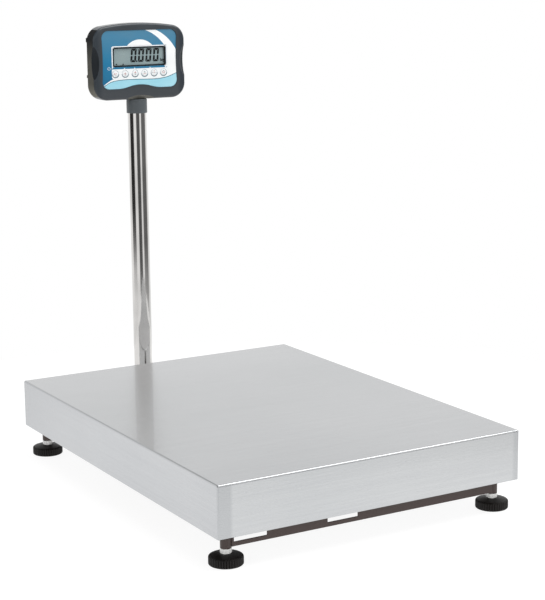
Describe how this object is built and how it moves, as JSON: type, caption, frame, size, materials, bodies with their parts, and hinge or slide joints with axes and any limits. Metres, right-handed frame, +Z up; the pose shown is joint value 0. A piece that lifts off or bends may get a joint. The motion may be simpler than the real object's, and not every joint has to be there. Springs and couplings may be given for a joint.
{
  "type": "platform shipping scale",
  "caption": "Floor platform scale: stainless pan on a single load cell and a painted steel base with screw feet, and a tilting indicator on a column behind it.",
  "frame": {"origin": "on the floor, at the centre of the footprint of platform, column and indicator", "axes": "+Z up, the indicator faces -Y towards the person weighing, +X to that person's right"},
  "size_m": [0.6, 0.9194, 0.8326],
  "materials": {
    "brushed_steel": "fine brushed stainless steel, grain along the depth",
    "polished_steel": "polished stainless tube",
    "zinc": "bright zinc plate",
    "frame_paint": "satin dark brown powder coat",
    "aluminium": "milled and anodised",
    "support_rubber": "matt black rubber",
    "foot_plastic": "black moulded nylon",
    "housing_plastic": "dark grey moulded ABS, light spark texture",
    "overlay_film": "printed polyester film, blue with white and pale blue bands",
    "key_film": "white printed film over a dome",
    "clear_window": "clear acrylic",
    "display_glass": "grey-green reflective liquid crystal glass with dark segments",
    "circuit_board": "green solder resist",
    "battery_case": "dark moulded case",
    "cable_jacket": "grey-black cable jacket",
    "socket_plastic": "black moulded socket"
  },
  "bodies": {
    "base": {"base_left_rail": "frame_paint", "base_right_rail": "frame_paint", "base_front_beam": "frame_paint", "base_rear_beam": "frame_paint", "base_cross_beam": "frame_paint", "base_centre_beam": "frame_paint", "foot_lock_nut_1": "zinc", "foot_lock_nut_2": "zinc", "foot_lock_nut_3": "zinc", "foot_lock_nut_4": "zinc", "load_cell": "aluminium", "load_cell_lower_spacer": "aluminium", "load_cell_lower_bolt_1": "zinc", "load_cell_lower_bolt_2": "zinc", "overload_stop_1": "zinc", "overload_stop_2": "zinc", "overload_stop_3": "zinc", "overload_stop_4": "zinc", "column_bracket": "frame_paint", "column_clamp_bolt_1": "zinc", "column_clamp_bolt_2": "zinc", "column_tube": "polished_steel", "spirit_level": "aluminium", "load_cell_cable": "cable_jacket"},
    "load_frame": {"load_frame_left_rail": "frame_paint", "load_frame_right_rail": "frame_paint", "load_frame_cross_plate": "frame_paint", "load_cell_upper_spacer": "aluminium", "load_cell_upper_bolt_1": "zinc", "load_cell_upper_bolt_2": "zinc", "platter_support_pad_1": "support_rubber", "platter_support_pad_2": "support_rubber", "platter_support_pad_3": "support_rubber", "platter_support_pad_4": "support_rubber"},
    "platter": {"platter": "brushed_steel"},
    "foot_1_stud": {"foot_stud_1": "zinc"},
    "foot_1_pad": {"foot_pad_1": "foot_plastic"},
    "foot_2_stud": {"foot_stud_2": "zinc"},
    "foot_2_pad": {"foot_pad_2": "foot_plastic"},
    "foot_3_stud": {"foot_stud_3": "zinc"},
    "foot_3_pad": {"foot_pad_3": "foot_plastic"},
    "foot_4_stud": {"foot_stud_4": "zinc"},
    "foot_4_pad": {"foot_pad_4": "foot_plastic"},
    "neck": {"neck_collar": "housing_plastic"},
    "head": {"front_bezel": "housing_plastic", "rear_housing": "housing_plastic", "battery_cover": "housing_plastic", "keypad_overlay": "overlay_film", "lcd_window": "clear_window", "lcd_module": "display_glass", "main_board": "circuit_board", "battery": "battery_case", "dc_inlet": "socket_plastic", "tilt_pin": "zinc"},
    "key_1": {"key_1": "key_film"},
    "key_2": {"key_2": "key_film"},
    "key_3": {"key_3": "key_film"},
    "key_4": {"key_4": "key_film"},
    "key_5": {"key_5": "key_film"},
    "key_6": {"key_6": "key_film"}
  },
  "joints": [
    {"name": "platform_deflection", "type": "slide", "parent": "base", "child": "load_frame", "axis": [0, 0, -1], "range_m": [0, 0.001], "stiffness_N_per_m": 2900000, "springref_m": -0.00005, "deforming": ["load_cell"]},
    {"name": "platter_lift", "type": "slide", "parent": "load_frame", "child": "platter", "axis": [0, 0, 1], "range_m": [0, 0.12]},
    {"name": "foot_1_extend", "type": "slide", "parent": "base", "child": "foot_1_stud", "axis": [0, 0, -1], "range_m": [0, 0.02]},
    {"name": "foot_1_turn", "type": "hinge", "parent": "foot_1_stud", "child": "foot_1_pad", "pos_m": [-0.268, -0.42575, 0.01], "axis": [0, 0, -1], "range_deg": [0, 4790]},
    {"name": "foot_2_extend", "type": "slide", "parent": "base", "child": "foot_2_stud", "axis": [0, 0, -1], "range_m": [0, 0.02]},
    {"name": "foot_2_turn", "type": "hinge", "parent": "foot_2_stud", "child": "foot_2_pad", "pos_m": [0.268, -0.42575, 0.01], "axis": [0, 0, -1], "range_deg": [0, 4790]},
    {"name": "foot_3_extend", "type": "slide", "parent": "base", "child": "foot_3_stud", "axis": [0, 0, -1], "range_m": [0, 0.02]},
    {"name": "foot_3_turn", "type": "hinge", "parent": "foot_3_stud", "child": "foot_3_pad", "pos_m": [-0.268, 0.30625, 0.01], "axis": [0, 0, -1], "range_deg": [0, 4790]},
    {"name": "foot_4_extend", "type": "slide", "parent": "base", "child": "foot_4_stud", "axis": [0, 0, -1], "range_m": [0, 0.02]},
    {"name": "foot_4_turn", "type": "hinge", "parent": "foot_4_stud", "child": "foot_4_pad", "pos_m": [0.268, 0.30625, 0.01], "axis": [0, 0, -1], "range_deg": [0, 4790]},
    {"name": "neck_swivel", "type": "hinge", "parent": "base", "child": "neck", "pos_m": [0, 0.41775, 0.66], "axis": [0, 0, 1], "range_deg": [-90, 90]},
    {"name": "display_tilt", "type": "hinge", "parent": "neck", "child": "head", "pos_m": [0, 0.41775, 0.694], "axis": [-1, 0, 0], "range_deg": [0, 30]},
    {"name": "key_1_press", "type": "slide", "parent": "head", "child": "key_1", "axis": [0, 1, 0], "range_m": [0, 0.0005], "stiffness_N_per_m": 2500, "springref_m": -0.0001},
    {"name": "key_2_press", "type": "slide", "parent": "head", "child": "key_2", "axis": [0, 1, 0], "range_m": [0, 0.0005], "stiffness_N_per_m": 2500, "springref_m": -0.0001},
    {"name": "key_3_press", "type": "slide", "parent": "head", "child": "key_3", "axis": [0, 1, 0], "range_m": [0, 0.0005], "stiffness_N_per_m": 2500, "springref_m": -0.0001},
    {"name": "key_4_press", "type": "slide", "parent": "head", "child": "key_4", "axis": [0, 1, 0], "range_m": [0, 0.0005], "stiffness_N_per_m": 2500, "springref_m": -0.0001},
    {"name": "key_5_press", "type": "slide", "parent": "head", "child": "key_5", "axis": [0, 1, 0], "range_m": [0, 0.0005], "stiffness_N_per_m": 2500, "springref_m": -0.0001},
    {"name": "key_6_press", "type": "slide", "parent": "head", "child": "key_6", "axis": [0, 1, 0], "range_m": [0, 0.0005], "stiffness_N_per_m": 2500, "springref_m": -0.0001}
  ],
  "couplings": [
    {"joint": "foot_1_extend", "follows": "foot_1_turn", "m_per_rad": 0.00023873},
    {"joint": "foot_2_extend", "follows": "foot_2_turn", "m_per_rad": 0.00023873},
    {"joint": "foot_3_extend", "follows": "foot_3_turn", "m_per_rad": 0.00023873},
    {"joint": "foot_4_extend", "follows": "foot_4_turn", "m_per_rad": 0.00023873}
  ]
}
